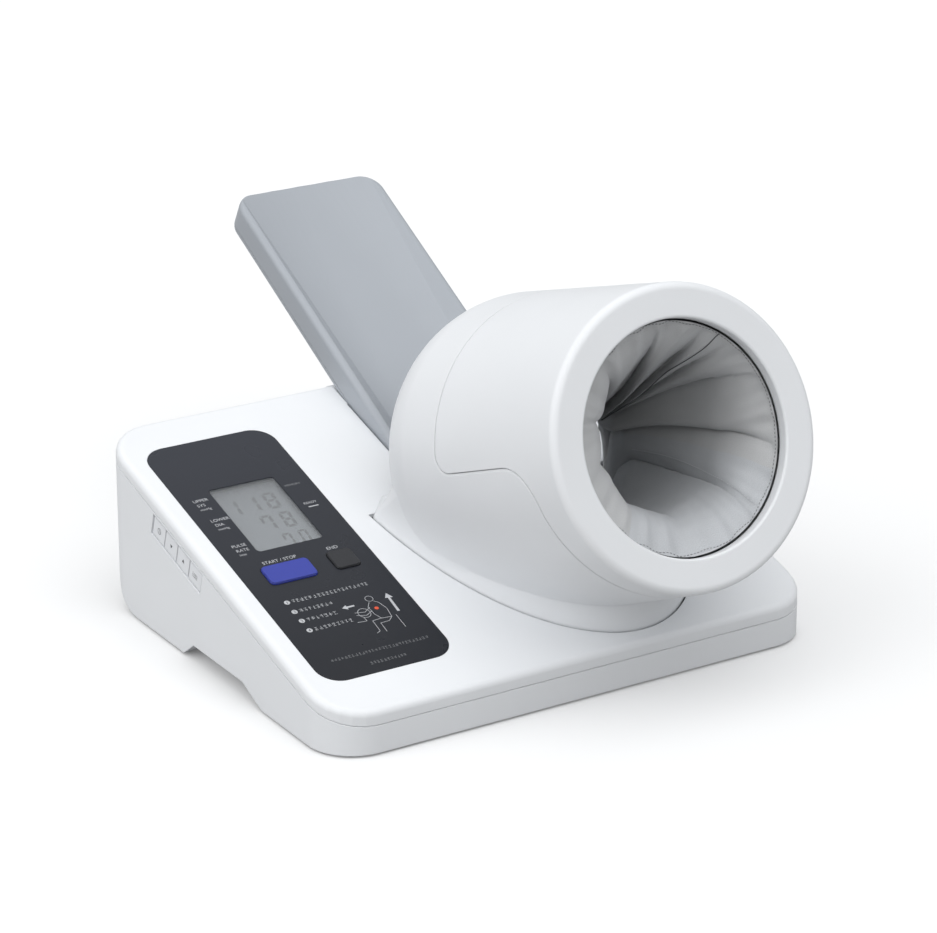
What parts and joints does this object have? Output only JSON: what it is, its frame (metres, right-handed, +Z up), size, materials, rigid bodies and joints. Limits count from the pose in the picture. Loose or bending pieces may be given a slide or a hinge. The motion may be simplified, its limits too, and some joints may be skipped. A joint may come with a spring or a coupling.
{
  "type": "arm-in blood pressure monitor",
  "caption": "Table-top blood pressure monitor: wedge base with display and buttons, a tilting cuff barrel that the upper arm goes into, and a fold-over forearm rest",
  "frame": {"origin": "middle of the object's bounding box, on the table that its feet stand on", "axes": "+X to the user's right, +Y away from the user towards the far end of the forearm rest, +Z up"},
  "size_m": [0.32, 0.4562, 0.2326],
  "materials": {
    "white_housing": "satin, fine moulded texture",
    "side_keys": "satin",
    "well_plastic": "matt moulding",
    "foot_rubber": "matt",
    "panel": "semi-gloss graphite",
    "window": "clear",
    "display": "grey liquid-crystal display",
    "start_blue": "satin blue",
    "end_black": "satin black",
    "rest_plastic": "satin silver-grey",
    "cell_wrap": "printed wrap",
    "spring_metal": "plated",
    "screw_steel": "zinc plated",
    "switch_body": "moulded",
    "circuit_board": "green solder mask",
    "motor_can": "drawn can",
    "pump_body": "moulded",
    "air_tube": "silicone",
    "inner_plastic": "plain moulding",
    "bladder": "thin sheet",
    "sleeve_fabric": "woven stretch fabric, gathered"
  },
  "bodies": {
    "base": {"base_top_cover": "white_housing", "base_bottom_case": "white_housing", "cuff_well": "well_plastic", "rubber_feet": "foot_rubber", "batteries": "cell_wrap", "battery_contacts": "spring_metal", "control_panel": "panel", "lcd_window": "window", "lcd_module": "display", "panel_switches": "switch_body", "side_key_board": "circuit_board", "side_key_switches": "switch_body", "main_board": "circuit_board", "board_chips": "switch_body", "pump_motor": "motor_can", "air_pump": "pump_body", "exhaust_valve": "motor_can", "air_tubes": "air_tube", "dc_jack": "switch_body", "case_screws": "screw_steel", "board_screws": "screw_steel", "cuff_hinge_pins": "screw_steel", "rest_hinge_pins": "screw_steel"},
    "cuff": {"barrel_upper_cover": "white_housing", "barrel_lower_shell": "white_housing", "front_clamp_ring": "inner_plastic", "rear_clamp_ring": "inner_plastic", "inner_drum": "inner_plastic", "wrap_bladder": "bladder", "curler": "inner_plastic", "measuring_bladder": "bladder", "cuff_cover": "sleeve_fabric", "barrel_screws": "screw_steel"},
    "rest": {"forearm_rest": "rest_plastic", "forearm_rest_back": "rest_plastic", "rest_screws": "screw_steel"},
    "start_button": {"start_button": "start_blue"},
    "end_button": {"end_button": "end_black"},
    "memory_key": {"memory_key": "side_keys"},
    "up_key": {"up_key": "side_keys"},
    "down_key": {"down_key": "side_keys"},
    "clock_key": {"clock_key": "side_keys"},
    "battery_door": {"battery_door": "white_housing"}
  },
  "joints": [
    {"name": "cuff_tilt", "type": "hinge", "parent": "base", "child": "cuff", "pos_m": [0.0453, -0.02873, 0.05486], "axis": [-1, 0, 0], "range_deg": [0, 8]},
    {"name": "rest_fold", "type": "hinge", "parent": "base", "child": "rest", "pos_m": [0.0453, 0.02871, 0.066], "axis": [1, 0, 0], "range_deg": [0, 52]},
    {"name": "start_press", "type": "slide", "parent": "base", "child": "start_button", "axis": [0, 0.2798, -0.96], "range_m": [0, 0.0009], "stiffness_N_per_m": 1500},
    {"name": "end_press", "type": "slide", "parent": "base", "child": "end_button", "axis": [0, 0.2798, -0.96], "range_m": [0, 0.0009], "stiffness_N_per_m": 1500},
    {"name": "memory_press", "type": "slide", "parent": "base", "child": "memory_key", "axis": [1, 0, 0], "range_m": [0, 0.0008], "stiffness_N_per_m": 1200},
    {"name": "up_press", "type": "slide", "parent": "base", "child": "up_key", "axis": [1, 0, 0], "range_m": [0, 0.0008], "stiffness_N_per_m": 1200},
    {"name": "down_press", "type": "slide", "parent": "base", "child": "down_key", "axis": [1, 0, 0], "range_m": [0, 0.0008], "stiffness_N_per_m": 1200},
    {"name": "clock_press", "type": "slide", "parent": "base", "child": "clock_key", "axis": [1, 0, 0], "range_m": [0, 0.0008], "stiffness_N_per_m": 1200},
    {"name": "battery_door_slide", "type": "slide", "parent": "base", "child": "battery_door", "axis": [0, 1, 0], "range_m": [0, 0.06]}
  ]
}
